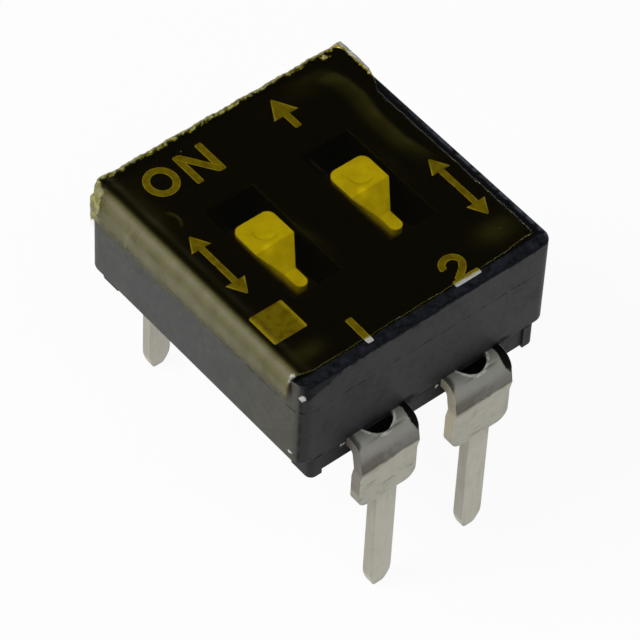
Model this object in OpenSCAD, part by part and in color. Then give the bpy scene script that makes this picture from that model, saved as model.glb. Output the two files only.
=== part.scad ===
// Two-position slide DIP switch for through-hole boards, with a film seal over the top.
// X runs along the row of switches, -Y is the numbered side, +Y is the ON side and Z is up.
// The origin is the centre of the pin pattern, in the plane of the board's upper face.
// Both sliders are drawn in their ON place.

/* [Pin grid] */
// Spacing of the switches along the row
pitch = 2.54; // [2.48:0.01:2.60]
// Distance between the two rows of pins, centre to centre
row_gap = 7.62; // [7.56:0.02:7.90]

/* [Body] */
// Length of the moulded body along the row
body_l = 6.68; // [6.60:0.02:7.40]
// Width of the moulded body across the row
body_w = 7.02; // [6.84:0.02:7.08]
// Radius of the body's upright corners
corner_r = 0.30; // [0.12:0.02:0.40]
// Height of the cover, from its rim to its top face
cover_h = 2.44; // [2.30:0.02:3.00]
// Thickness of the cover's two end walls
end_wall = 0.55; // [0.40:0.01:0.62]
// Thickness of the cover's two side walls, where the leads pass
side_wall = 0.54; // [0.40:0.01:0.60]
// Thickness of the roof round the windows
roof_t = 0.38; // [0.28:0.01:0.40]
// Depth of the mould's parting line below the top face
parting_drop = 0.82; // [0.60:0.01:1.20]
// Step in the outside at the parting line
parting_step = 0.02; // [0.01:0.005:0.04]
// Height of the base's underside above the board
standoff = 1.39; // [1.30:0.01:2.20]
// Thickness of the base plate
base_t = 0.56; // [0.48:0.01:0.70]
// Inset of the base plate behind the cover at the ends
base_inset_x = 0.30; // [0.10:0.01:0.40]
// Inset of the base plate behind the cover at the lead sides
base_inset_y = 0.05; // [0.02:0.01:0.12]
// Clearance all round between the base's locating walls and the cover
plug_gap = 0.04; // [0.02:0.01:0.08]
// Length of a corner foot along the row
foot_l = 0.32; // [0.20:0.01:0.50]
// Length of a corner foot across the row
foot_w = 0.60; // [0.30:0.02:1.00]
// Depth of a corner foot below the base plate
foot_h = 0.05; // [0.04:0.01:0.20]
// Radius of the base plate's upright corners
base_corner_r = 0.16; // [0.08:0.02:0.24]

/* [Window and channel] */
// Length of a window, along the slider's travel
window_l = 2.90; // [2.60:0.02:3.00]
// Width of a window
window_w = 1.24; // [1.16:0.01:1.34]
// Depth of the flange's upper guide below the top face
guide_drop = 1.16; // [1.10:0.01:1.18]
// Height of the channel that the flange slides in
guide_h = 0.52; // [0.51:0.01:0.56]
// Width of the channel that the flange slides in
guide_w = 2.02; // [1.98:0.01:2.10]
// Clearance at each end of the slider's travel
end_gap = 0.16; // [0.10:0.01:0.24]
// Length of the room for the pads beyond the flange's channel
pad_room = 0.65; // [0.40:0.01:0.70]

/* [Slider] */
// Travel of a slider between ON and OFF
travel = 0.68; // [0.60:0.01:0.70]
// Width of the slider's head
head_w = 1.00; // [0.80:0.01:1.06]
// Length of the slider's head, along its travel
head_l = 0.82; // [0.70:0.01:0.88]
// Corner radius of the slider's head
head_r = 0.20; // [0.08:0.01:0.22]
// Distance of the head's top below the cover's top face
head_drop = 0.04; // [0.02:0.01:0.12]
// Length of the ramp in front of the head
ramp_l = 0.50; // [0.40:0.01:0.52]
// Drop from the head's top to the rib's top
ramp_drop = 0.41; // [0.41:0.01:0.50]
// Width of the narrow rib
rib_w = 0.30; // [0.24:0.01:0.40]
// Length of the rib in front of the ramp
rib_l = 0.49; // [0.40:0.01:0.52]
// Diameter of the round hollow in the head
dimple_d = 0.62; // [0.50:0.01:0.66]
// Depth of the round hollow in the head
dimple_depth = 0.05; // [0.03:0.01:0.08]
// Length of the flange under the roof
flange_l = 2.40; // [2.20:0.02:2.50]
// Width of the flange under the roof
flange_w = 1.90; // [1.80:0.01:1.92]
// Thickness of the flange
flange_t = 0.44; // [0.40:0.01:0.46]
// Depth of the two rails below the flange
rail_h = 0.16; // [0.10:0.01:0.20]
// Diameter of the peg that holds the contact spring
peg_d = 0.34; // [0.26:0.01:0.38]
// Length of that peg
peg_l = 0.14; // [0.10:0.01:0.20]

/* [Contact spring] */
// Width of the contact spring
contact_w = 0.88; // [0.80:0.01:0.92]
// Thickness of the contact spring
contact_t = 0.08; // [0.06:0.01:0.10]
// Distance of each contact toe from the spring's middle
toe_reach = 0.60; // [0.56:0.01:0.64]
// Height of a toe's bend
toe_rise = 0.03; // [0.02:0.01:0.05]
// Half of the length of a toe's bend
toe_half = 0.07; // [0.05:0.01:0.10]
// Length of the upturned end beyond a toe
tail_l = 0.24; // [0.16:0.01:0.30]
// Height of the upturned end above a toe
tail_h = 0.22; // [0.12:0.01:0.26]
// Width of the flat land round the peg
contact_land = 0.14; // [0.10:0.01:0.20]
// Clearance between the spring's edges and the slider's rails
rail_gap = 0.03; // [0.02:0.01:0.05]
// Clearance of the spring's hole round the peg
peg_gap = 0.01; // [0.005:0.005:0.03]
// Width of the slot between the two fingers of an arm
finger_slot = 0.16; // [0.10:0.01:0.24]
// Gap between a toe and the pad that it wipes
toe_gap = 0.03; // [0.02:0.005:0.05]

/* [Terminals] */
// Thickness of the terminal strip
strip_t = 0.27; // [0.22:0.01:0.27]
// Width of the wide part of a lead
lead_w = 1.56; // [1.40:0.02:1.66]
// Width of a pin
pin_w = 0.56; // [0.44:0.01:0.64]
// Length of a pin below the board's upper face
pin_len = 3.18; // [2.60:0.02:3.60]
// Radius of the corners of a lead's shoulders
shoulder_r = 0.30; // [0.10:0.01:0.40]
// Length of a pin's tapered tip
tip_l = 0.56; // [0.40:0.01:0.90]
// Width of the tip's blunt end
tip_w = 0.26; // [0.20:0.01:0.30]
// Radius of the blunt end's two corners
tip_round = 0.10; // [0.04:0.01:0.12]
// Chamfer on the faces of the tip
tip_chamfer = 0.05; // [0.02:0.01:0.08]
// Length of that chamfer
tip_chamfer_l = 0.35; // [0.10:0.01:0.50]
// Inside radius of the bend beside the body
bend_r = 0.13; // [0.08:0.01:0.16]
// Outward kick of the crease above the board
kick = 0.06; // [0.00:0.01:0.08]
// Height of the crease above the board
crease_z = 1.21; // [1.00:0.01:1.30]
// Length over which the lead leans back in below its crease
crease_l = 0.30; // [0.15:0.01:0.50]
// Diameter of the anchor hole
anchor_d = 0.82; // [0.60:0.01:0.90]
// Inset of the anchor hole's middle from the body's side
anchor_inset = 0.14; // [0.05:0.01:0.20]
// Depth of the moulding in the anchor hole below the strip's top, outside the body
plug_drop = 0.12; // [0.08:0.01:0.16]
// Length of the wide part of the strip inside the body's side wall
wide_in = 0.34; // [0.20:0.01:0.40]
// Width of the contact pad inside
pad_w = 1.04; // [0.96:0.01:1.10]
// Distance of a front pad's end from the middle of the body
front_pad_y = 0.10; // [0.06:0.01:0.14]
// Distance of a back pad's end from the middle of the body
back_pad_y = 0.50; // [0.46:0.01:0.56]
// Diameter of the moulding hole under each lead
support_d = 0.70; // [0.50:0.01:0.80]
// Distance of the moulding holes from the middle of the body
support_y = 2.20; // [2.00:0.02:2.60]

/* [Seal film] */
// Thickness of the film with its adhesive
film_t = 0.05; // [0.04:0.01:0.08]
// Inset of the film's front edge from the body
film_front = 0.21; // [0.05:0.01:0.30]
// Inset of the film's right edge from the body
film_right = 0.24; // [0.05:0.01:0.30]
// Inset of the film's back edge from the body
film_back = 0.06; // [0.00:0.01:0.12]
// Length of the wider ear at the back right corner
film_ear = 1.20; // [0.60:0.05:1.60]
// Length of the slanted edge that leads to the ear
ear_slant = 0.35; // [0.20:0.05:0.60]
// Inset of the ear from the body's right end
ear_inset = 0.04; // [0.00:0.01:0.10]
// Length of the slanted cuts at the film's corners
film_cut = 0.20; // [0.10:0.01:0.30]
// Drop of the film's flap over the left end, at the back
flap_back = 1.20; // [0.80:0.05:1.60]
// Distance from the back at which that flap has its notch
notch_y = 1.40; // [1.00:0.05:2.00]
// Drop of the flap at its notch
notch_drop = 0.50; // [0.30:0.05:0.70]
// Length of the notch's front side
notch_l = 0.40; // [0.20:0.05:0.60]
// Drop of the film's flap over the left end, at the front
flap_front = 0.45; // [0.30:0.05:0.80]

/* [Hidden] */
$fn = 48;
eps = 0.01;

// Heights above the board
rim_z = standoff + base_t;
top_z = rim_z + cover_h;
roof_z = top_z - roof_t;
guide_z = top_z - guide_drop;
channel_z = guide_z - guide_h;
parting_z = top_z - parting_drop;

// Slider heights
guide_gap = (guide_h - flange_t) / 2;
flange_z = guide_z - guide_gap - flange_t;
flange_top = flange_z + flange_t;
head_z = top_z - head_drop;
rib_z = head_z - ramp_drop;

// Places along the travel
switch_x = [-pitch / 2, pitch / 2];
on_y = travel / 2;
head_front = on_y - head_l / 2;
ramp_front = head_front - ramp_l;
rib_front = ramp_front - rib_l;
flange_reach = flange_l / 2 + on_y;
rib_reach = travel - rib_front;
channel_half = flange_reach + end_gap;
blade_half = rib_reach + end_gap;
chamber_half = channel_half + pad_room;

// Terminal places, with u measured outward from the middle of the body
lead_u = row_gap / 2;
outer_r = bend_r + strip_t;
bend_u = lead_u + strip_t / 2 - outer_r;
bend_z = rim_z - outer_r;
wide_from = body_w / 2 - wide_in;
anchor_u = body_w / 2 - anchor_inset;

module rounded_plate(l, w, r) {
    square([l - 2 * r, w], center = true);
    square([l, w - 2 * r], center = true);
    for (x = [-1, 1], y = [-1, 1])
        translate([x * (l / 2 - r), y * (w / 2 - r)]) circle(r);
}

module block(l, w, z_low, z_high) {
    translate([-l / 2, -w / 2, z_low]) cube([l, w, z_high - z_low]);
}

// Outside of the cover: two straight-sided stages that meet at the parting line
module cover_outside() {
    translate([0, 0, rim_z])
        linear_extrude(parting_z - rim_z)
            rounded_plate(body_l, body_w, corner_r);
    translate([0, 0, rim_z])
        linear_extrude(cover_h)
            rounded_plate(body_l - 2 * parting_step, body_w - 2 * parting_step,
                          corner_r - parting_step);
}

// Hollow for one switch: flange channel, blade channel and window
module switch_hollow() {
    block(guide_w, 2 * channel_half, channel_z - eps, guide_z);
    block(window_w, 2 * blade_half, channel_z - eps, roof_z);
    block(window_w, window_l, channel_z - eps, top_z + eps);
}

module cover() {
    color([0.10, 0.105, 0.115])
    difference() {
        cover_outside();
        block(body_l - 2 * end_wall, body_w - 2 * side_wall, rim_z - eps, channel_z);
        for (x = switch_x) translate([x, 0, 0]) switch_hollow();
    }
}

// Plan of the flat part of a terminal, with u along +Y
module terminal_plan(pad_end) {
    translate([-pad_w / 2, pad_end]) square([pad_w, wide_from - pad_end + eps]);
    translate([-lead_w / 2, wide_from]) square([lead_w, bend_u - wide_from]);
}

// Side view of a leg: bend, kicked-out crease, straight pin and chamfered tip
module leg_side() {
    inner = lead_u - strip_t / 2;
    outer = lead_u + strip_t / 2;
    lean_z = crease_z - crease_l;
    chamfer_z = tip_chamfer_l - pin_len;
    intersection() {
        translate([bend_u, bend_z]) difference() {
            circle(outer_r);
            circle(bend_r);
        }
        translate([bend_u - eps, bend_z]) square(outer_r + 2 * eps);
    }
    polygon([[inner, bend_z], [outer, bend_z], [outer + kick, crease_z], [outer, lean_z],
             [outer, chamfer_z], [outer - tip_chamfer, -pin_len],
             [inner + tip_chamfer, -pin_len], [inner, chamfer_z], [inner, lean_z],
             [inner + kick, crease_z]]);
}

// Front view of a leg: square shoulders with rounded corners, and a pin with an arched, blunt tip
module leg_outline() {
    tip_side = (pin_w - tip_w) / 2;
    tip_r = (tip_l * tip_l + tip_side * tip_side) / (2 * tip_side);
    translate([0, lead_w / 2]) rounded_plate(lead_w, lead_w, shoulder_r);
    translate([-lead_w / 2, lead_w / 2]) square([lead_w, rim_z - lead_w / 2 + eps]);
    offset(tip_round) offset(delta = -tip_round) {
        translate([-pin_w / 2, tip_l - pin_len]) square([pin_w, pin_len - tip_l + shoulder_r]);
        intersection() {
            translate([-pin_w / 2, -pin_len]) square([pin_w, tip_l + eps]);
            for_both_sides(tip_r - pin_w / 2)
                translate([0, tip_l - pin_len]) circle(tip_r, $fn = 128);
        }
    }
}

// Where copies of a shape at +x and -x overlap
module for_both_sides(x) {
    intersection() {
        translate([x, 0]) children();
        translate([-x, 0]) children();
    }
}

// One terminal, placed at x, with its leg on the side given by out (-1 front, 1 back)
module terminal(x, out, pad_end) {
    color([0.72, 0.71, 0.68])
    translate([x, 0, 0]) rotate([0, 0, out > 0 ? 0 : 180])
    difference() {
        union() {
            translate([0, 0, rim_z - strip_t])
                linear_extrude(strip_t) terminal_plan(pad_end);
            intersection() {
                rotate([90, 0, 90]) translate([0, 0, -lead_w / 2])
                    linear_extrude(lead_w) leg_side();
                rotate([90, 0, 180]) linear_extrude(row_gap) leg_outline();
            }
        }
        translate([0, anchor_u, bend_z]) cylinder(h = rim_z - bend_z + eps, d = anchor_d);
    }
}

// Plug of moulding in the anchor hole: flush with the strip inside, lower beyond the wall
module anchor_plug(x) {
    translate([x, anchor_u, rim_z - strip_t - eps])
        cylinder(h = strip_t + eps - plug_drop, d = anchor_d);
    intersection() {
        translate([x, anchor_u, rim_z - strip_t]) cylinder(h = strip_t, d = anchor_d);
        block(row_gap, body_w - 2 * base_inset_y, 0, rim_z);
    }
}

module base() {
    plate_l = body_l - 2 * base_inset_x;
    plate_w = body_w - 2 * base_inset_y;
    plug_l = body_l - 2 * end_wall - 2 * plug_gap;
    plug_w = body_w - 2 * side_wall - 2 * plug_gap;
    plug_z = channel_z - plug_gap;
    color([0.13, 0.135, 0.14]) {
        difference() {
            union() {
                translate([0, 0, standoff])
                    linear_extrude(base_t) rounded_plate(plate_l, plate_w, base_corner_r);
                intersection() {
                    linear_extrude(rim_z) rounded_plate(plate_l, body_w, base_corner_r);
                    for (x = [-1, 1], y = [-1, 1])
                        translate([x * (plate_l - foot_l) / 2, y * (body_w - foot_w) / 2, 0])
                            block(foot_l, foot_w, standoff - foot_h, rim_z);
                }
                block(plug_l, plug_w, rim_z - eps, plug_z);
            }
            for (x = switch_x) {
                translate([x, 0, 0]) block(guide_w, 2 * chamber_half, rim_z, plug_z + eps);
                translate([x, 0, 0]) terminal_cut(back_pad_y);
                translate([x, 0, 0]) rotate([0, 0, 180]) terminal_cut(front_pad_y);
            }
            for (x = switch_x, y = [-support_y, support_y])
                translate([x, y, standoff - eps])
                    cylinder(h = base_t - strip_t + 2 * eps, d = support_d);
        }
        for (x = switch_x, turn = [0, 180]) rotate([0, 0, turn]) anchor_plug(x);
    }
}

// Room for a terminal in the base plate: a slot for its strip and a notch for its leg
module terminal_cut(pad_end) {
    side = body_w / 2 + row_gap / 2;
    translate([0, 0, rim_z - strip_t]) linear_extrude(strip_t + eps) {
        terminal_plan(pad_end);
        translate([-lead_w / 2, wide_from]) square([lead_w, side - wide_from]);
    }
    translate([-lead_w / 2, bend_u, 0]) cube([lead_w, side - bend_u, rim_z]);
}

// Plan of the slider above its flange: head, taper and rib, with the head's middle at 0
module slider_plan() {
    front = -head_l / 2;
    rounded_plate(head_w, head_l, head_r);
    polygon([[-head_w / 2, front + head_r], [head_w / 2, front + head_r],
             [head_w / 2, front], [rib_w / 2, front - ramp_l],
             [-rib_w / 2, front - ramp_l], [-head_w / 2, front]]);
    translate([-rib_w / 2, front - ramp_l - rib_l + rib_w / 2])
        square([rib_w, rib_l + ramp_l]);
    translate([0, front - ramp_l - rib_l + rib_w / 2]) circle(rib_w / 2);
}

// Side view of the slider above its flange, with its travel along X
module slider_side() {
    polygon([[head_l / 2, flange_top - eps], [head_l / 2, head_z], [-head_l / 2, head_z],
             [-head_l / 2 - ramp_l, rib_z], [-head_l / 2 - ramp_l - rib_l, rib_z],
             [-head_l / 2 - ramp_l - rib_l, flange_top - eps]]);
}

module slider(x) {
    dimple_r = (dimple_d * dimple_d / 4 + dimple_depth * dimple_depth) / (2 * dimple_depth);
    rail_w = (flange_w - contact_w) / 2 - rail_gap;
    color([0.93, 0.92, 0.88])
    translate([x, on_y, 0]) {
        difference() {
            union() {
                intersection() {
                    linear_extrude(top_z) slider_plan();
                    rotate([90, 0, 90]) translate([0, 0, -head_w])
                        linear_extrude(2 * head_w) slider_side();
                }
                block(flange_w, flange_l, flange_z, flange_top);
                for (side = [-1, 1])
                    translate([side * (flange_w - rail_w) / 2, 0, 0])
                        block(rail_w, flange_l, flange_z - rail_h, flange_z + eps);
                translate([0, 0, flange_z - peg_l]) cylinder(h = peg_l + eps, d = peg_d);
            }
            translate([0, 0, head_z - dimple_depth + dimple_r]) sphere(dimple_r, $fn = 96);
        }
    }
}

// A strip of even thickness along a line of points, as a flat outline
function unit(v) = v / norm(v);
function side_of(v) = [-v[1], v[0]];
function corner_shift(p, i, t) =
    i == 0 ? side_of(unit(p[1] - p[0])) * t :
    i == len(p) - 1 ? side_of(unit(p[i] - p[i - 1])) * t :
    let (a = side_of(unit(p[i] - p[i - 1])), b = side_of(unit(p[i + 1] - p[i])))
        (a + b) * t / (1 + a * b);
function strip_outline(p, t) =
    concat([for (i = [0 : len(p) - 1]) p[i] + corner_shift(p, i, t / 2)],
           [for (i = [len(p) - 1 : -1 : 0]) p[i] - corner_shift(p, i, t / 2)]);

// Contact spring: a bridge with two split arms whose toes wipe the pads
module contact_spring(x) {
    top = flange_z - contact_t / 2;
    toe = rim_z + toe_gap + contact_t / 2;
    land = peg_d / 2 + contact_land;
    arm = [[land, top], [toe_reach - toe_half, toe + toe_rise], [toe_reach, toe],
           [toe_reach + toe_half, toe + toe_rise], [toe_reach + tail_l, toe + tail_h]];
    line = concat([for (i = [len(arm) - 1 : -1 : 0]) [-arm[i][0], arm[i][1]]], arm);
    color([0.83, 0.67, 0.30])
    translate([x, on_y, 0])
    difference() {
        rotate([90, 0, 90]) translate([0, 0, -contact_w / 2])
            linear_extrude(contact_w) polygon(strip_outline(line, contact_t));
        translate([0, 0, rim_z]) cylinder(h = cover_h, d = peg_d + 2 * peg_gap);
        for (side = [-1, 1])
            translate([0, side * (land + toe_reach + tail_l / 2), 0])
                block(finger_slot, 2 * toe_reach + tail_l, rim_z, top_z);
    }
}

// Section of the film across the body: flat on the roof and wrapped over the left end
module film_section() {
    difference() {
        union() {
            circle(film_t);
            square([body_l, film_t]);
            translate([-film_t, -flap_back]) square([film_t, flap_back]);
        }
        translate([0, -flap_back - eps]) square([body_l + eps, flap_back + eps]);
    }
}

// Outline that the film was cut to, on the roof
module film_plan() {
    left = -body_l / 2;
    right = body_l / 2 - film_right;
    front = film_front - body_w / 2;
    back = body_w / 2 - film_back;
    ear = body_l / 2 - ear_inset;
    flap_start = corner_r - body_w / 2;
    flap_end = body_w / 2 - corner_r;
    polygon([[left - film_t - eps, flap_start], [left, flap_start], [left + corner_r, front],
             [right, front], [right, back - film_ear - ear_slant], [ear, back - film_ear],
             [ear, back - film_cut], [ear - film_cut, back], [left + film_cut, back],
             [left, flap_end], [left - film_t - eps, flap_end]]);
}

// Outline of the flap on the left end, with Y along X and the drop from the top face along Y
module film_flap() {
    flap_start = corner_r - body_w / 2;
    flap_end = body_w / 2 - corner_r;
    notch = body_w / 2 - notch_y;
    polygon([[flap_start, film_t + eps], [flap_end, film_t + eps], [flap_end, -flap_back],
             [notch, -notch_drop], [notch - notch_l, -flap_back], [flap_start, -flap_front]]);
}

module seal_film() {
    color([0.78, 0.50, 0.10, 0.5])
    intersection() {
        translate([-body_l / 2, body_w / 2, top_z]) rotate([90, 0, 0])
            linear_extrude(body_w) film_section();
        union() {
            translate([0, 0, top_z - eps]) linear_extrude(film_t + 2 * eps) film_plan();
            translate([-body_l / 2 - film_t - eps, 0, top_z]) rotate([90, 0, 90])
                linear_extrude(film_t + 2 * eps) film_flap();
        }
    }
}

cover();
base();
terminal(switch_x[0], -1, front_pad_y);  // terminal_1
terminal(switch_x[1], -1, front_pad_y);  // terminal_2
terminal(switch_x[1], 1, back_pad_y);  // terminal_3
terminal(switch_x[0], 1, back_pad_y);  // terminal_4
slider(switch_x[0]);  // slider_1
slider(switch_x[1]);  // slider_2
contact_spring(switch_x[0]);  // contact_spring_1
contact_spring(switch_x[1]);  // contact_spring_2
seal_film();
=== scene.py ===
"""Looks of a two-position DIP switch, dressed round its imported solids.

The file is laid out as an add-on and run as a script. Lengths in the settings are in
millimetres, and every mesh is made in metres in the solids' own frame: X runs along the row
of switches, +Y is the ON side, Z is up, and the board's upper face is at zero.
"""

import math

import bmesh
import bpy
import numpy as np
from mathutils import Matrix, Vector


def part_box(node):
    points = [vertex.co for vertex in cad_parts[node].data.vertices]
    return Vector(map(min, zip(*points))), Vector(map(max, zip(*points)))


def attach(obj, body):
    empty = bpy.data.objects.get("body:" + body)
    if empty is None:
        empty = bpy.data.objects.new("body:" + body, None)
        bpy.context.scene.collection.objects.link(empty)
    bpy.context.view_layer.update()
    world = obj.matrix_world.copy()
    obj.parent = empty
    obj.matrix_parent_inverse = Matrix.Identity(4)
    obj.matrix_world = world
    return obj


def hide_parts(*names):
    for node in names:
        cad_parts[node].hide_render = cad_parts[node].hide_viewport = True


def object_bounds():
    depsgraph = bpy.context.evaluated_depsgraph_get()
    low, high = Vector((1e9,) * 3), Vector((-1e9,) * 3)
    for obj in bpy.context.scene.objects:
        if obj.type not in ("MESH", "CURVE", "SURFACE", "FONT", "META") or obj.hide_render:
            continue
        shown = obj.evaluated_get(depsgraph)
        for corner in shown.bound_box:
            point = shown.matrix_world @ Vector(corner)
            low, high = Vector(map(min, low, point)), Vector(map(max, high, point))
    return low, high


bl_info = {
    "name": "DIP switch looks",
    "version": (1, 0, 0),
    "blender": (4, 5, 0),
    "location": "3D View > Sidebar > DIP switch",
    "description": "Dresses a DIP switch with moulded plastic, tinned leads, print and film",
    "category": "Object",
}

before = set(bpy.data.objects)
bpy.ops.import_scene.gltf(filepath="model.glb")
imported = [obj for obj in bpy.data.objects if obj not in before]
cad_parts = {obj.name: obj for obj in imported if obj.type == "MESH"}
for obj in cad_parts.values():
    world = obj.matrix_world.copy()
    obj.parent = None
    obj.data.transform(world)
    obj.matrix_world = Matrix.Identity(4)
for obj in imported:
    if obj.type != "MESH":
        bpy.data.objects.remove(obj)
CAD_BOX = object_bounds()
MM = 0.001
LEADS = ("terminal_1", "terminal_2", "terminal_3", "terminal_4")
SLIDERS = ("slider_1", "slider_2")
SPRINGS = ("contact_spring_1", "contact_spring_2")
BODY_LOW, BODY_HIGH = (np.array(corner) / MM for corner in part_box("cover"))
TOP = float(BODY_HIGH[2])
RIM = float(BODY_LOW[2])
PITCH = 2.54
PRINT_LAP = 0.0006
PARTING = TOP - 0.82
STAGE_STEP = 0.02
CORNER_R = 0.30
HEAD_TOP = TOP - 0.04
HEAD_Y = 0.34
HEAD_FRONT = -0.07
RAMP_FRONT = -0.57
RAMP_DROP = 0.41
FILM_FRONT = -3.20
FILM_BACK = 3.47
FOLD_R = 0.29
FOLD_OFF = 0.060
FILM_RIGHT = ((-3.20, 3.06), (-3.12, 3.10), (1.85, 3.10), (2.20, 3.28), (2.45, 3.36),
              (3.27, 3.39), (3.47, 3.38))
FLAP_DROP = ((-3.20, 0.75), (-2.84, 0.80), (-1.56, 1.00), (-0.25, 1.12), (0.95, 1.20),
             (1.70, 1.25), (2.10, 1.10), (2.60, 1.25), (3.20, 1.45), (3.47, 1.40))
RIDGE_X = ((-0.2, 2.78), (0.5, 2.64), (1.3, 2.64), (2.0, 2.76), (2.5, 2.74), (3.0, 2.55))
CREASE_Y = ((2.90, 1.90), (3.22, 1.72), (3.38, 1.82), (3.48, 2.06), (3.72, 2.14), (4.08, 2.09),
            (4.39, 1.95))
# Pale spots, each a place and a radius in millimetres. On the cover: a chip low on the left end,
# and a painted highlight where the film's front end catches the light. On the base: painted glints.
CHIPS_AND_GLINTS = (((-3.335, -3.18, 2.20), 0.075), ((-3.28, -3.42, 4.04), 0.110))
GLINTS = (((0.38, -3.46, 1.78), 0.058), ((-2.20, -3.46, 1.78), 0.055),
          ((-2.12, -3.46, 1.80), 0.050))
ANCHOR_Y = 3.37
ANCHOR_R = 0.41


class Wire:
    """A node socket that takes part in Python expressions: each operator adds a Math node."""

    def __init__(self, graph, socket):
        self.graph = graph
        self.socket = socket

    def maths(self, operation, first, second=0.0):
        """One Math node over two values or wires."""
        return self.graph.add("ShaderNodeMath", {"operation": operation}, {0: first, 1: second})

    def __add__(self, other):
        return self.maths("ADD", self, other)

    def __sub__(self, other):
        return self.maths("SUBTRACT", self, other)

    def __rsub__(self, other):
        return self.maths("SUBTRACT", other, self)

    def __mul__(self, other):
        return self.maths("MULTIPLY", self, other)

    def __neg__(self):
        return self.maths("MULTIPLY", self, -1.0)

    def __abs__(self):
        return self.maths("ABSOLUTE", self)

    __radd__ = __add__
    __rmul__ = __mul__

    def rise(self, low, high):
        """0 below low, 1 above high and a smooth step between; low may be the larger of the two."""
        settings = {"interpolation_type": "SMOOTHSTEP"}
        if low < high:
            return self.graph.add("ShaderNodeMapRange", settings, {0: self, 1: low, 2: high})
        return 1.0 - self.graph.add("ShaderNodeMapRange", settings, {0: self, 1: high, 2: low})

    def ramp(self, low, high):
        """0 below low, 1 above high and a straight line between."""
        return self.graph.add("ShaderNodeMapRange", None, {0: self, 1: low, 2: high})

    def near(self, middle, half, soft):
        """1 within half of middle, falling to 0 over soft."""
        return abs(self - middle).rise(half + soft, half)


class Graph:
    """The nodes of one material or of the world."""

    def __init__(self, owner):
        owner.use_nodes = True
        self.tree = owner.node_tree
        self.tree.nodes.clear()

    def add(self, kind, settings=None, sockets=None, out=0):
        """Adds a node: its settings are set first, then its sockets get values or links."""
        node = self.tree.nodes.new(kind)
        for name, value in (settings or {}).items():
            setattr(node, name, value)
        for key, value in (sockets or {}).items():
            if isinstance(value, Wire):
                self.tree.links.new(value.socket, node.inputs[key])
            else:
                node.inputs[key].default_value = value
        return Wire(self, node.outputs[out])

    def rays(self):
        """1 for the camera's rays, and 1 for those that surfaces mirror or let through."""
        path = self.add("ShaderNodeLightPath").socket.node
        camera, glossy, through = (Wire(self, path.outputs[f"Is {kind} Ray"])
                                   for kind in ("Camera", "Glossy", "Transmission"))
        return camera, (glossy + through).ramp(0.0, 1.0)

    def place(self):
        """Object coordinates in millimetres."""
        spot = self.add("ShaderNodeTexCoord", out="Object")
        return self.add("ShaderNodeVectorMath", {"operation": "SCALE"}, {0: spot, 3: 1 / MM})

    def axes(self, vector):
        """The three parts of a vector."""
        split = self.add("ShaderNodeSeparateXYZ", None, {0: vector}).socket.node
        return [Wire(self, output) for output in split.outputs]

    def stretched(self, vector, scale, shift=(0.0, 0.0, 0.0)):
        """The vector shifted and then scaled along each axis."""
        return self.add("ShaderNodeMapping", {"vector_type": "POINT"},
                        {"Vector": vector, "Location": shift, "Scale": scale})

    def noise(self, vector, scale, detail=3.0, roughness=0.5, out=0):
        """Cloud noise from 0 to 1, or three of them as a colour."""
        return self.add("ShaderNodeTexNoise", None, {
            "Vector": vector, "Scale": scale, "Detail": detail, "Roughness": roughness}, out=out)

    def specks(self, vector, scale, size):
        """Round specks of a given size in cells: 1 at a speck's middle."""
        cells = self.add("ShaderNodeTexVoronoi", None, {"Vector": vector, "Scale": scale})
        return cells.rise(size, 0.4 * size)

    def blend(self, share, first, second):
        """A colour between two colours."""
        return self.add("ShaderNodeMix", {"data_type": "RGBA"},
                        {0: share, 6: first, 7: second}, out=2)

    def bump(self, height, strength, reach):
        """A surface normal from a height; reach is in millimetres."""
        return self.add("ShaderNodeBump", None,
                        {"Strength": strength, "Distance": reach * MM, "Height": height})

    def finish(self, shader, kind="ShaderNodeOutputMaterial"):
        """Links a shader to the output."""
        self.add_output(shader, kind)

    def add_output(self, shader, kind):
        """Adds the output node and links the shader to it."""
        node = self.tree.nodes.new(kind)
        self.tree.links.new(shader.socket, node.inputs["Surface"])


def rgba(colour):
    """A colour with full alpha."""
    return (*tuple(colour)[:3], 1.0)


def colour_prop(label, about, default):
    """A linear colour in the settings."""
    return bpy.props.FloatVectorProperty(name=label, description=about, default=default,
                                         size=3, min=0.0, max=1.0, subtype="COLOR")


def length_prop(label, about, default, least=0.0, most=10.0):
    """A length in millimetres in the settings."""
    return bpy.props.FloatProperty(name=label, description=about, default=default,
                                   min=least, max=most, precision=3)


class SwitchSizes(bpy.types.PropertyGroup):
    """Sizes of the dressed pieces, in millimetres."""

    mould_edge: length_prop("Mould edge", "Radius worn on the edges of the mouldings", 0.045)
    lead_edge: length_prop("Lead edge", "Radius of a lead's stamped edges", 0.022)
    slider_edge: length_prop("Slider edge", "Radius of a slider's edges", 0.028)
    spring_edge: length_prop("Spring edge", "Radius of a contact spring's edges", 0.008)
    print_stroke: length_prop("Print stroke", "Width of the printed lines", 0.165)
    print_height: length_prop("Print height", "Thickness of the print above the roof", 0.006)
    film_gap: length_prop("Film gap", "Space between the roof and the film", 0.010)
    film_thick: length_prop("Film thickness", "Thickness of the film", 0.040)
    film_sag: length_prop("Film sag", "Dip of the film over each window", 0.022)
    film_wave: length_prop("Film wave", "Height of the film's ripples", 0.006)


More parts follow.
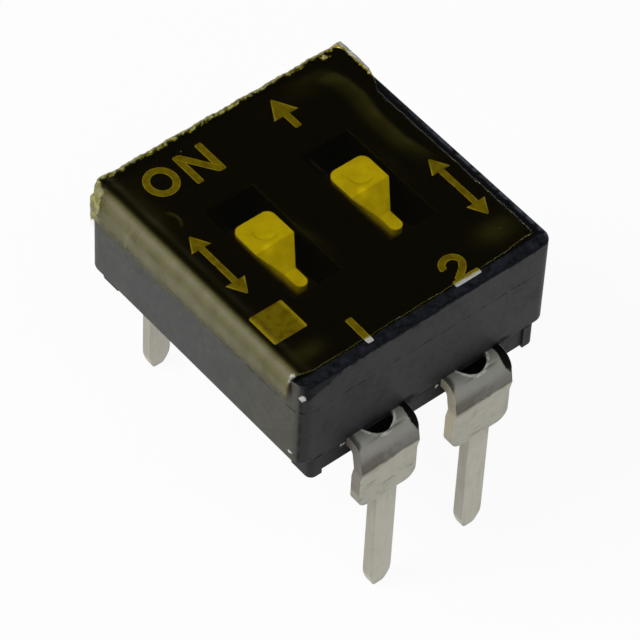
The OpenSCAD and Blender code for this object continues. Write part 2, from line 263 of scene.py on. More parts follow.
class SwitchColours(bpy.types.PropertyGroup):
    """Colours of the finishes."""

    cover: colour_prop("Cover", "Moulded plastic of the cover", (0.0085, 0.009, 0.0105))
    base: colour_prop("Base", "Moulded plastic of the base", (0.012, 0.0125, 0.0135))
    tin: colour_prop("Tin", "Dull tin plating of the leads", (0.40, 0.388, 0.322))
    tarnish: colour_prop("Tarnish", "Darker patches of the plating", (0.16, 0.15, 0.125))
    slider: colour_prop("Slider", "White plastic of the sliders", (0.57, 0.56, 0.53))
    gold: colour_prop("Gold", "Gold plating of the contact springs", (0.80, 0.58, 0.22))
    ink: colour_prop("Ink", "Grey-white print on the roof", (0.165, 0.165, 0.46))
    tint: colour_prop("Tint", "Light that one face of the film lets through", (0.87, 0.81, 0.22))
    # Also the colour of the painted sheen on the film.
    haze_and_sheen: colour_prop("Haze", "Dust on the film over the roof", (0.16, 0.155, 0.030))
    glue: colour_prop("Glue", "Crumpled adhesive at the film's back edge", (0.250, 0.240, 0.055))


class StageSettings(bpy.types.PropertyGroup):
    """Camera, lamps and floor."""

    azimuth: bpy.props.FloatProperty(
        name="Azimuth", description="Where the camera stands, from the front towards +X",
        default=math.radians(-41.75), subtype="ANGLE")
    elevation: bpy.props.FloatProperty(
        name="Elevation", description="Height of the camera above the horizon",
        default=math.radians(49.76), subtype="ANGLE")
    roll: bpy.props.FloatProperty(
        name="Roll", description="Turn of the camera about its own axis",
        default=math.radians(3.12), subtype="ANGLE")
    distance: length_prop("Distance", "From the camera to its target", 88.18, 10.0, 500.0)
    target: bpy.props.FloatVectorProperty(
        name="Target", description="Point that the camera looks at, in millimetres",
        default=(-1.088, -1.371, 3.0), size=3)
    lens: bpy.props.FloatProperty(
        name="Lens", description="Focal length on a sensor 36 mm wide", default=241.08,
        min=20.0, max=400.0)


def settings():
    """The three groups of settings."""
    scene = bpy.context.scene
    return scene.switch_sizes, scene.switch_colours, scene.switch_stage


# Materials

def plastic(name, colour, roughness, grain, wear, chips_and_glints):
    """Black moulded plastic: fine grain, cloudy gloss, scuffs, a faint parting line and pale spots
    at listed places: chip marks and painted glints.

    The roof, the windows' inner faces and the hollows round the lead anchors get painted shade:
    near-black, smoother and mostly dull. The strips that the film leaves bare get mottled bluish
    patches instead. The left end is dusted and lightened by painted light, bluer at the back and
    browner at the front. Painted shade also darkens the front's upper left corner and the rim
    beside each lead's far corner, and a painted highlight runs along the roof's right edge.
    """
    material = bpy.data.materials.new(name)
    graph = Graph(material)
    spot = graph.place()
    x, y, z = graph.axes(spot)
    clouds = graph.noise(spot, 1.6, 4.0, 0.6)
    fine = graph.noise(spot, 26.0, 2.0, 0.6)
    coarse = graph.noise(spot, 5.5, 4.0, 0.7)
    scuffs = graph.noise(graph.stretched(spot, (9.0, 2.0, 14.0)), 1.5, 5.0, 0.7).rise(0.60, 0.78)
    corner = abs(x).rise(BODY_HIGH[0] - 0.22, BODY_HIGH[0]) * abs(y).rise(BODY_HIGH[1] - 0.22,
                                                                      BODY_HIGH[1])
    worn = corner * coarse.rise(0.44, 0.66) * wear
    roof = z.rise(TOP - 0.014, TOP - 0.004)
    inner = abs(x).rise(3.30, 3.20) * abs(y).rise(3.46, 3.38) * z.rise(RIM + 0.1, RIM + 0.3)
    plug = (abs(y).rise(3.47, 3.49) * z.rise(RIM - 0.02, RIM - 0.06)
            * abs(abs(x) - PITCH / 2).rise(0.55, 0.48))
    # Painted shade: a black, dull patch on the rim beside each lead's far corner.
    far_corner = graph.add("ShaderNodeCombineXYZ", None, {
        0: (abs(x - 0.80) - PITCH / 2) * 0.55, 1: z - RIM - 0.03})
    lead_corner_shade = graph.add("ShaderNodeVectorMath", {"operation": "LENGTH"}, {0: far_corner}, out="Value")
    lead_corner_shade = (lead_corner_shade + coarse * 0.16 - 0.08).rise(0.19, 0.08) * y.rise(-3.40, -3.46)
    # Painted shade: the roof, the windows' inner faces and the hollows round the lead anchors are
    # made near-black and dull.
    painted_dark_shade = (roof + inner + plug).rise(0.0, 1.0)
    bare = roof * (y.rise(-3.18, -3.24) + x.rise(3.08, 3.12) * 0.25).rise(0.0, 1.0) * coarse
    # Painted shade: a dark, dull patch on the front face's upper left corner, under the roof's
    # edge.
    front_corner_shade = y.rise(-3.40, -3.46) * z.rise(2.0, 3.0) * (
        z - x.ramp(-3.35, -2.20) * 0.42 + coarse * 0.30 - 0.15).rise(3.88, 3.96)
    torn = graph.add("ShaderNodeVectorMath", {"operation": "MULTIPLY_ADD"},
                     {0: graph.noise(spot, 11.0, 3.0, 0.6, out="Color"), 1: (0.16, 0.16, 0.16),
                      2: spot})
    # Painted highlight: a bluish line along the roof's right edge, towards the front.
    edge = (x.rise(3.20, 3.28) * z.rise(TOP - 0.075, TOP - 0.030) * coarse.rise(0.36, 0.60)
            * y.rise(2.6, -0.5))
    # Painted light and a dusted coat: the left end is made lighter, with darker and paler patches.
    dust_and_light = x.rise(-3.28, -3.335)
    line = z.near(PARTING, 0.008, 0.026) * coarse.rise(0.42, 0.60)
    pale = tuple(min(1.0, 3.2 * c + 0.05) for c in colour)
    shade = graph.blend(clouds.rise(0.3, 0.7), rgba(0.72 * c for c in colour), rgba(colour))
    shade = graph.blend(scuffs * 0.16 + worn.rise(0.0, 1.0), shade, rgba(pale))
    film = graph.blend((y + clouds * 3.0).rise(1.5, -1.5), (0.036, 0.039, 0.037, 1.0),
                       (0.043, 0.041, 0.029, 1.0))
    shade = graph.blend(dust_and_light * (0.45 + clouds * 0.8 + fine * 0.2), shade, film)
    mottle = dust_and_light * (coarse * 0.7 + clouds * 0.3)
    shade = graph.blend(mottle.rise(0.50, 0.62) * 0.40, shade, (0.022, 0.023, 0.022, 1.0))
    shade = graph.blend(mottle.rise(0.50, 0.40) * dust_and_light * 0.35, shade, (0.065, 0.064, 0.050, 1.0))
    shade = graph.blend(front_corner_shade * 0.85, shade, (0.0022, 0.0028, 0.0045, 1.0))
    shade = graph.blend(lead_corner_shade * 0.9, shade, (0.0010, 0.0010, 0.0014, 1.0))
    shade = graph.blend(painted_dark_shade * 0.97, shade, (0.0005, 0.0005, 0.0005, 1.0))
    shade = graph.blend(bare.rise(0.30, 0.75) * 1.2, shade, (0.0085, 0.0098, 0.0150, 1.0))
    shade = graph.blend(edge * 0.8, shade, (0.055, 0.062, 0.085, 1.0))
    shade = graph.blend(line * 0.85, shade, (0.001, 0.001, 0.001, 1.0))
    # Pale spots at the listed places: chip marks, and painted highlights at the glints.
    for place, size in chips_and_glints:
        away = graph.add("ShaderNodeVectorMath", {"operation": "DISTANCE"},
                         {0: torn, 1: tuple(part + 0.08 for part in place)}, out="Value")
        chip = (away + fine * size).rise(1.30 * size, 1.05 * size)
        shade = graph.blend(chip, shade, (0.50, 0.50, 0.48, 1.0))
    rough = (roughness + clouds * 0.14 + scuffs * 0.12 + fine * 0.06) * (1.0 - painted_dark_shade * 0.55)
    height = (fine * grain + clouds * 0.35 - scuffs * 0.15) * (1.0 - painted_dark_shade * 0.7) - line * 1.2
    shader = graph.add("ShaderNodeBsdfPrincipled", None, {
        "Base Color": shade, "Roughness": rough + bare * 0.25, "IOR": 1.5,
        "Specular IOR Level": 0.24,
        "Normal": graph.bump(height, 0.35, 0.012)})
    dull = graph.add("ShaderNodeBsdfPrincipled", None, {
        "Base Color": shade, "Roughness": 0.55, "IOR": 1.5, "Specular IOR Level": 0.06})
    # Painted shade: a dull gloss on the roof and in the windows, kept off the bare strips.
    dulled_in_shade = painted_dark_shade * (1.0 - bare * 1.4).rise(0.0, 1.0)
    seam = x.near(-3.280, 0.006, 0.030) * y.rise(-3.22, -3.30) * coarse.rise(0.40, 0.56)
    cloudy = (coarse * 0.6 + clouds * 0.4).rise(0.46, 0.62) * (1.0 - dust_and_light) * 0.26
    graph.finish(graph.add("ShaderNodeMixShader", None, {
        0: (front_corner_shade * (1.25 - fine * 0.7) + line * 0.60 + dulled_in_shade * 0.95 + seam * 0.6 + lead_corner_shade
            + cloudy).ramp(0.0, 1.0),
        1: shader, 2: dull}))
    return material


def slider_finish(name, colour, middle):
    """White plastic of the slider whose head is at a given X, with painted shade down its sides.

    The top is a head, a ramp and a rib. Below tells how far a point lies under that top: it is 0 on
    all three and grows down the sides. A painted arc of shade marks the near rim of the head's
    hollow, with painted light just inside it, and a painted glint lies at the head's front.
    """
    material = bpy.data.materials.new(name)
    graph = Graph(material)
    spot = graph.place()
    x, y, z = graph.axes(spot)
    clouds = graph.noise(spot, 2.6, 4.0, 0.6)
    fine = graph.noise(spot, 22.0, 3.0, 0.65)
    below = y.ramp(RAMP_FRONT, HEAD_FRONT) * RAMP_DROP + (HEAD_TOP - RAMP_DROP) - z
    flat = graph.add("ShaderNodeCombineXYZ", None, {0: x, 1: y})
    away = graph.add("ShaderNodeVectorMath", {"operation": "DISTANCE"},
                     {0: flat, 1: (middle + 0.07, HEAD_Y, 0.0)}, out="Value")
    # Painted shade on the near rim of the head's hollow, and painted light just inside it.
    near_side = (x * -0.67 + y * -0.74 + (0.67 * (middle + 0.07) + 0.74 * HEAD_Y))
    rim = away.near(0.27, 0.006, 0.035) * near_side.rise(0.02, 0.14)
    hollow = away.rise(0.27, 0.20) * near_side.rise(0.0, 0.20)
    glint = graph.add("ShaderNodeVectorMath", {"operation": "DISTANCE"},
                      {0: flat, 1: (middle - 0.20, HEAD_FRONT, 0.0)}, out="Value")
    shade = graph.blend(clouds.rise(0.35, 0.70) * 0.6 + fine.rise(0.45, 0.75) * 0.35,
                        rgba(1.06 * c for c in colour), rgba(0.74 * c for c in colour))
    shade = graph.blend(glint.rise(0.19, 0.02) * 0.6, shade, (0.90, 0.89, 0.82, 1.0))
    shade = graph.blend(hollow * 0.25, shade, (0.85, 0.84, 0.78, 1.0))
    shade = graph.blend(rim * 0.42, shade, (0.26, 0.25, 0.20, 1.0))
    # Painted shade: the sides turn dark brown below the slider's top, less towards the front.
    painted_side_shade = (below.rise(0.015, 0.06) * (0.42 + fine * 0.5) * (1.0 - y.rise(0.0, -0.6) * 0.6)
             + below.rise(0.06, 0.45) * 0.75) * away.rise(0.33, 0.37)
    shade = graph.blend(painted_side_shade.rise(0.0, 0.95), shade, (0.028, 0.020, 0.012, 1.0))
    shader = graph.add("ShaderNodeBsdfPrincipled", None, {
        "Base Color": shade, "Roughness": 0.40 + clouds * 0.12, "IOR": 1.5,
        "Normal": graph.bump(fine * 0.4 + clouds * 0.4, 0.30, 0.012)})
    graph.finish(shader)
    return material


def tinned(name, tin, tarnish):
    """Dull tin plating: drawn streaks down the pins, and a brown crease with painted shade above
    it.

    Each lead's own X is measured from its middle, so that its near edge can be told from its far
    edge: both are darkened where they come out of the body, partly stained and partly painted
    shade.
    """
    material = bpy.data.materials.new(name)
    graph = Graph(material)
    spot = graph.place()
    x, y, z = graph.axes(spot)
    own = (abs(x) - PITCH / 2) * x.maths("SIGN", x)
    streaks = graph.noise(graph.stretched(spot, (9.0, 9.0, 0.9)), 1.4, 5.0, 0.6)
    rolled = graph.noise(graph.stretched(spot, (0.9, 1.0, 5.5)), 1.5, 4.0, 0.6)
    blotches = graph.noise(spot, 2.3, 5.0, 0.65)
    coarse = graph.noise(spot, 6.0, 4.0, 0.7)
    fine = graph.noise(spot, 34.0, 2.0, 0.6)
    wobble = z + graph.noise(spot, 3.0, 2.0, 0.5) * 0.16 - 0.08
    outside = abs(y).rise(3.80, 3.90)
    crease = wobble.near(1.25, 0.012, 0.06) * outside
    above = wobble.rise(1.22, 1.30)
    brown = wobble.near(1.33, 0.05, 0.26) * (own * -0.45 + coarse).rise(0.36, 0.68)
    wide = z.rise(-0.05, 0.10) * z.rise(1.15, 0.95)
    low = z.rise(0.30, -0.60)
    lined = rolled.rise(0.55, 0.64) * wide
    pin = z.rise(0.05, -0.20)
    tip = z.rise(-2.85, -3.15) * coarse.rise(0.40, 0.62)
    shade = graph.blend(blotches.rise(0.46, 0.72) * 0.30 + streaks.rise(0.52, 0.70) * pin * 0.32
                        + lined * 0.60 + tip * 0.5, rgba(tin), rgba(tarnish))
    shade = graph.blend(fine.rise(0.55, 0.75) * 0.16, shade, (0.44, 0.425, 0.37, 1.0))
    # Painted light: the pins are lighter low down.
    shade = graph.blend(low * 0.5, shade, (0.53, 0.515, 0.44, 1.0))
    # Painted shade: above the crease the plating is a darker, duller grey, darkest just above it.
    shade = graph.blend(above * (0.75 + coarse * 0.3), shade,
                        graph.blend(z.rise(1.35, 1.80), (0.135, 0.133, 0.116, 1.0),
                                    (0.255, 0.257, 0.232, 1.0)))
    thin = abs(own).rise(0.262, 0.274) * z.rise(0.02, -0.06)
    shade = graph.blend(thin * (0.35 + streaks * 0.3), shade, (0.30, 0.28, 0.23, 1.0))
    shade = graph.blend(brown * 0.75, shade, (0.095, 0.082, 0.058, 1.0))
    shade = graph.blend(crease * 0.60, shade, (0.050, 0.042, 0.032, 1.0))
    # Painted highlight and shade: the thick sides of the leads on the right are light gold, those
    # on the left dark.
    side = abs(own).rise(0.762, 0.776) * z.rise(0.25, 0.55)
    flank_light_and_shade = graph.blend(x.rise(-0.5, 0.5), (0.185, 0.160, 0.135, 1.0), (0.46, 0.42, 0.29, 1.0))
    shade = graph.blend(side * (0.5 + coarse * 0.6), shade, flank_light_and_shade)
    # Stained and painted shade: both edges darken where the lead comes out of the body, to near
    # black close to it, the far edge also duller.
    near_edge = (-own - 0.79 + z.rise(1.74, 1.93) * 0.14 + z.rise(1.60, 1.30) * 0.07
                 + coarse * 0.09)
    far_edge = (own - 0.80 + wobble.rise(1.42, 1.84) * 0.15 + x.rise(0.0, 1.0) * 0.03
                + coarse * 0.12)
    far_stain_and_shade = far_edge.rise(0.0, 0.045) * z.rise(1.30, 1.42)
    stain_and_shade = near_edge.rise(0.0, 0.09) * z.rise(1.22, 1.36) * 0.8 + far_stain_and_shade
    black = graph.blend(z.rise(1.45, 1.70), (0.050, 0.046, 0.042, 1.0), (0.003, 0.003, 0.003, 1.0))
    shade = graph.blend((stain_and_shade * (1.0 - side)).ramp(0.0, 0.95), shade, black)
    # Painted highlight: a pale, broken ring on the burred edge round each anchor hole.
    hole = graph.add("ShaderNodeVectorMath", {"operation": "LENGTH"}, {0: graph.add(
        "ShaderNodeCombineXYZ", None, {0: own, 1: abs(y) - ANCHOR_Y})}, out="Value")
    burr_highlight = (hole + fine * 0.05).near(ANCHOR_R + 0.05, 0.018, 0.030) * z.rise(1.45, 1.60)
    shade = graph.blend(burr_highlight * coarse.rise(0.40, 0.52) * 0.9, shade, (0.62, 0.62, 0.57, 1.0))
    height = (streaks * pin * 0.7 + lined * 0.6 + blotches * 0.6 + fine * 0.3 + coarse * 0.4
              - crease * 0.6)
    shader = graph.add("ShaderNodeBsdfPrincipled", None, {
        "Base Color": shade, "Metallic": 0.72 - above * 0.25 - stain_and_shade * 0.4,
        "Roughness": 0.38 + blotches * 0.16 + streaks * 0.10 + above * 0.06,
        "Normal": graph.bump(height, 0.5, 0.020)})
    dull = graph.add("ShaderNodeBsdfPrincipled", None, {
        "Base Color": shade, "Roughness": 0.70, "Specular IOR Level": 0.05})
    graph.finish(graph.add("ShaderNodeMixShader", None, {
        0: (far_stain_and_shade * z.rise(1.40, 1.60) * (1.0 - side * 0.5)).ramp(0.0, 1.0), 1: shader, 2: dull}))
    return material


def gold_plate(name, colour):
    """Smooth gold plating with faint rolling lines."""
    material = bpy.data.materials.new(name)
    graph = Graph(material)
    spot = graph.place()
    lines = graph.noise(graph.stretched(spot, (22.0, 1.2, 6.0)), 2.0, 3.0, 0.5)
    clouds = graph.noise(spot, 4.0, 3.0, 0.5)
    shade = graph.blend(clouds.rise(0.35, 0.75) * 0.5, rgba(colour), rgba((0.62, 0.40, 0.12)))
    shader = graph.add("ShaderNodeBsdfPrincipled", None, {
        "Base Color": shade, "Metallic": 1.0, "Roughness": 0.20 + lines * 0.16,
        "Normal": graph.bump(lines, 0.25, 0.006)})
    graph.finish(shader)
    return material


def ink_finish(name, colour):
    """Thin pad print: paler at its edges, with pinholes where the black shows through."""
    material = bpy.data.materials.new(name)
    graph = Graph(material)
    spot = graph.place()
    thin = graph.noise(spot, 5.0, 4.0, 0.6)
    holes = graph.noise(spot, 24.0, 3.0, 0.6).rise(0.60, 0.74)
    edge = graph.add("ShaderNodeAttribute", {"attribute_name": "rim"}, out="Fac")
    bright = tuple(min(1.0, 2.3 * c) for c in colour)
    shade = graph.blend(edge, rgba(colour), rgba(bright))
    worn = tuple(share * c for share, c in zip((0.42, 0.30, 0.30), colour))
    shade = graph.blend((thin.rise(0.42, 0.66) * 0.62 + holes * 0.45) * (1.0 - edge * 0.6), shade,
                        rgba(worn))
    _, y, _ = graph.axes(spot)
    shade = graph.blend(y.rise(-3.14, -3.20) * (0.4 + thin), shade, (0.30, 0.30, 0.265, 1.0))
    shader = graph.add("ShaderNodeBsdfPrincipled", None, {
        "Base Color": shade, "Roughness": 0.62,
        "Normal": graph.bump(thin + holes, 0.3, 0.005)})
    graph.finish(shader)
    return material


def film_finish(name, tint, haze_and_sheen, glue):
    """Clear amber film: a tint that what lies under it shows through, a matt coat of dirt and
    painted sheen, and a clear gloss.

    Three attributes of the film's mesh steer it: dust_and_sheen for dirt and painted sheen, gum for
    adhesive at the cut edges, both broken up by noise, and clear where the tint and the gloss fade
    out.
    """
    material = bpy.data.materials.new(name)
    graph = Graph(material)
    spot = graph.place()
    x, y, _ = graph.axes(spot)
    dust_and_sheen, edge, fade = (graph.add("ShaderNodeAttribute", {"attribute_name": attribute}, out="Fac")
                        for attribute in ("dust_and_sheen", "gum", "clear"))
    clouds = graph.noise(spot, 1.8, 4.0, 0.6)
    crumbs = graph.noise(spot, 7.0, 5.0, 0.7)
    lint = graph.specks(spot, 1.4, 0.030) * crumbs.rise(0.50, 0.56)
    scratch = graph.noise(graph.stretched(spot, (1.2, 14.0, 1.0)), 1.3, 4.0, 0.6).rise(0.66, 0.74)
    gum = (edge * 1.6 + crumbs * 2.0 - 1.7).rise(0.0, 0.30) * edge.rise(0.02, 0.12)
    # Share of the matt coat: dirt and painted sheen, scratches, gum and lint.
    dust_gum_and_sheen = dust_and_sheen * (0.55 + clouds * 0.9) + scratch * dust_and_sheen * 0.4 + gum + lint
    # On the fold the matt coat is a painted reflection of the pale studio, greyer, under a rougher
    # and weaker gloss.
    folded = x.rise(-3.05, -3.28)
    colour = graph.blend(folded, rgba(haze_and_sheen), (0.086, 0.077, 0.022, 1.0))
    ear = graph.blend(x.rise(3.27, 3.33), (0.46, 0.38, 0.17, 1.0), (0.50, 0.50, 0.44, 1.0))
    cream = graph.blend(y.rise(-1.0, 1.0), (0.30, 0.30, 0.25, 1.0),
                        graph.blend(x.rise(2.6, 3.2), rgba(glue), ear))
    cream = graph.blend(crumbs.rise(0.62, 0.48) * 0.6, cream, (0.030, 0.032, 0.010, 1.0))
    colour = graph.blend(gum.rise(0.12, 0.7), colour, cream)
    colour = graph.blend(lint.rise(0.0, 1.0), colour, (0.16, 0.16, 0.12, 1.0))
    normal = graph.bump(clouds + crumbs * 0.3, 0.20, 0.008)
    matt = graph.add("ShaderNodeBsdfPrincipled", None, {
        "Base Color": colour, "Roughness": 0.6, "Normal": normal})
    amber = graph.add("ShaderNodeBsdfTransparent", None, {"Color": rgba(tint)})
    plain = graph.add("ShaderNodeBsdfTransparent", None, {"Color": (1.0, 1.0, 1.0, 1.0)})
    through = graph.add("ShaderNodeMixShader", None, {0: fade.ramp(0.0, 0.35), 1: amber,
                                                      2: plain})
    body = graph.add("ShaderNodeMixShader", None, {0: dust_gum_and_sheen.rise(0.0, 1.0), 1: through, 2: matt})
    gloss = graph.add("ShaderNodeBsdfGlossy", None, {
        "Color": (0.9, 0.9, 0.9, 1.0), "Roughness": 0.08 + crumbs * 0.08 + folded * 0.50,
        "Normal": normal})
    slant = graph.add("ShaderNodeLayerWeight", None, {"Blend": 0.5, "Normal": normal}, out="Facing")
    mirrored = slant.maths("POWER", slant, 5.0) * 0.96 + 0.026
    graph.finish(graph.add("ShaderNodeMixShader", None, {
        0: mirrored * (1.0 - fade) * (1.0 - folded * 0.7), 1: body, 2: gloss}))
    return material


# Meshes

def show(mesh_object, body, material, replaced=()):
    """Gives a piece its material and body, and hides the solids that it stands for."""
    mesh_object.data.materials.clear()
    mesh_object.data.materials.append(material)
    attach(mesh_object, body)
    if replaced:
        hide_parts(*replaced)
    return mesh_object


def new_object(name, points, faces):
    """A mesh object from arrays of points, in millimetres, and faces."""
    mesh = bpy.data.meshes.new(name)
    mesh.from_pydata((np.asarray(points, float) * MM).tolist(), [],
                     np.asarray(faces, int).tolist())
    mesh.validate()
    piece = bpy.data.objects.new(name, mesh)
    bpy.context.scene.collection.objects.link(piece)
    return piece


def shade_smooth(piece, angle):
    """Smooth shading except across edges sharper than an angle, in degrees."""
    bpy.context.view_layer.objects.active = piece
    for other in bpy.context.selected_objects:
        other.select_set(False)
    piece.select_set(True)
    bpy.ops.object.shade_smooth_by_angle(angle=math.radians(angle))
    piece.select_set(False)


def level_stages(shape):
    """Brings a cover's upper stage out to its lower one, so that no ledge crosses its bevels."""
    middle = BODY_HIGH[:2] - CORNER_R
    for vertex in shape.verts:
        place = np.array(vertex.co[:2]) / MM
        out = np.maximum(np.abs(place) - middle, 0.0)
        reach = np.hypot(*out)
        if vertex.co[2] / MM > PARTING - 0.01 and reach > CORNER_R - 1.5 * STAGE_STEP:
            moved = np.sign(place) * (np.minimum(np.abs(place), middle) + out * CORNER_R / reach)
            vertex.co[0], vertex.co[1] = moved * MM


def softened_copy(node, name, width, segments=3, change=None):
    """A merged copy of a solid with its edges rounded by a Bevel of a given width."""
    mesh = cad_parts[node].data.copy()
    mesh.name = name
    shape = bmesh.new()
    shape.from_mesh(mesh)
    if change:
        change(shape)
    bmesh.ops.remove_doubles(shape, verts=shape.verts, dist=0.0008 * MM)
    bmesh.ops.dissolve_limit(shape, angle_limit=math.radians(0.6), verts=shape.verts,
                             edges=shape.edges)
    shape.to_mesh(mesh)
    shape.free()
    piece = bpy.data.objects.new(name, mesh)
    bpy.context.scene.collection.objects.link(piece)
    bevel = piece.modifiers.new("Edge", "BEVEL")
    bevel.width = width * MM
    bevel.segments = segments
    bevel.limit_method = "ANGLE"
    bevel.angle_limit = math.radians(28.0)
    bevel.harden_normals = False
    bevel.miter_outer = "MITER_SHARP"
    shade_smooth(piece, 40.0)
    return piece


def stroke(points, width, closed=False, cap=0.04, steps=6):
    """A flat line of even width along points: its left side, middle and right side.

    Each point of the path gets two sides, half a width off along the normal. The ends of an
    open path are cut square with corners rounded by cap, as rows of narrower pairs.
    """
    path = np.asarray(points, float)
    if closed:
        along = np.roll(path, -1, 0) - np.roll(path, 1, 0)
    else:
        along = np.gradient(path, axis=0)
    along /= np.linalg.norm(along, axis=1)[:, None]
    half = np.full(len(path), width / 2)
    if not closed:
        angle = np.linspace(math.pi / 2, 0.05, steps)
        back = cap * (1 - np.cos(angle))[:, None]
        narrow = width / 2 - cap * (1 - np.sin(angle))
        start = path[0] + along[0] * back[::-1]
        end = path[-1] - along[-1] * back
        path = np.concatenate([start, path[1:-1], end])
        half = np.concatenate([narrow[::-1], half[1:-1], narrow])
        along = np.concatenate([np.repeat(along[:1], steps, 0), along[1:-1],
                                np.repeat(along[-1:], steps, 0)])
    side = np.stack([-along[:, 1], along[:, 0]], 1)
    return path + side * half[:, None], path, path - side * half[:, None]


def wedge(foot, tip, width):
    """A flat triangle from a foot of a given width to a blunt tip, as three rows of points."""
    middle = line(foot, tip, 9)
    along = (np.asarray(tip, float) - foot) / np.linalg.norm(np.asarray(tip, float) - foot)
    side = np.array([-along[1], along[0]])
    half = width / 2 * np.linspace(1.0, 0.06, 9)[:, None]
    return middle + side * half, middle, middle - side * half


def arc(centre, radii, start, stop, count):
    """Points on an ellipse's arc, with the angles in degrees."""
    angle = np.radians(np.linspace(start, stop, count))
    return np.stack([centre[0] + radii[0] * np.cos(angle),
                     centre[1] + radii[1] * np.sin(angle)], 1)


def line(first, last, count=6):
    """Evenly spaced points from first to last."""
    share = np.linspace(0.0, 1.0, count)[:, None]
    return np.asarray(first, float) * (1 - share) + np.asarray(last, float) * share


def ribbon_mesh(name, strokes, low, high):
    """Raised print: each stroke is a ribbon with a flat top and a rounded-off border.

    Across a stroke there are seven columns at fixed shares of the half width. The outer
    column is at the roof, the next ones are at full height, and the rim attribute is 1 near
    the border and 0 in the middle.
    """
    across = np.array([-1.0, -0.96, -0.72, 0.0, 0.72, 0.96, 1.0])
    lift = np.array([0.0, 1.0, 1.0, 1.0, 1.0, 1.0, 0.0])
    rims = np.array([1.0, 1.0, 0.0, 0.0, 0.0, 1.0, 1.0])
    points, faces, rim = [], [], []
    base = 0
    for order, (left, middle, right, closed) in enumerate(strokes):
        rows = len(middle)
        grid = (middle[:, None, :] + (left - middle)[:, None, :] * np.clip(across, 0, 1)[:, None]
                + (right - middle)[:, None, :] * np.clip(-across, 0, 1)[:, None])
        height = np.broadcast_to(low + (high - low + PRINT_LAP * order) * lift, (rows, 7))
        points.append(np.concatenate([grid, height[..., None]], 2).reshape(-1, 3))
        rim.append(np.broadcast_to(rims, (rows, 7)).reshape(-1))
        row = np.arange(rows if closed else rows - 1)
        ahead = (row + 1) % rows
        column = np.arange(6)
        a = base + row[:, None] * 7 + column
        b = base + row[:, None] * 7 + column + 1
        c = base + ahead[:, None] * 7 + column + 1
        d = base + ahead[:, None] * 7 + column
        faces.append(np.stack([a, d, c, b], -1).reshape(-1, 4))
        base += rows * 7
    piece = new_object(name, np.concatenate(points), np.concatenate(faces))
    layer = piece.data.attributes.new("rim", "FLOAT", "POINT")
    layer.data.foreach_set("value", np.concatenate(rim).astype(np.float32))
    return piece


def hump(value, middle, half):
    """A smooth hump: 1 at the middle, falling as a bell whose width is half."""
    return np.exp(-((value - middle) / half) ** 2)


def step(value, low, high):
    """0 below low, 1 above high and a smooth step between."""
    share = np.clip((value - low) / (high - low), 0.0, 1.0)
    return share * share * (3 - 2 * share)


def ragged(value, size):
    """A torn edge: four sine waves of unlike lengths added up."""
    return size * (0.45 * np.sin(7.1 * value + 0.4) + 0.30 * np.sin(17.3 * value + 1.9)
                   + 0.25 * np.sin(41.0 * value) + 0.20 * np.sin(83.0 * value + 0.7))


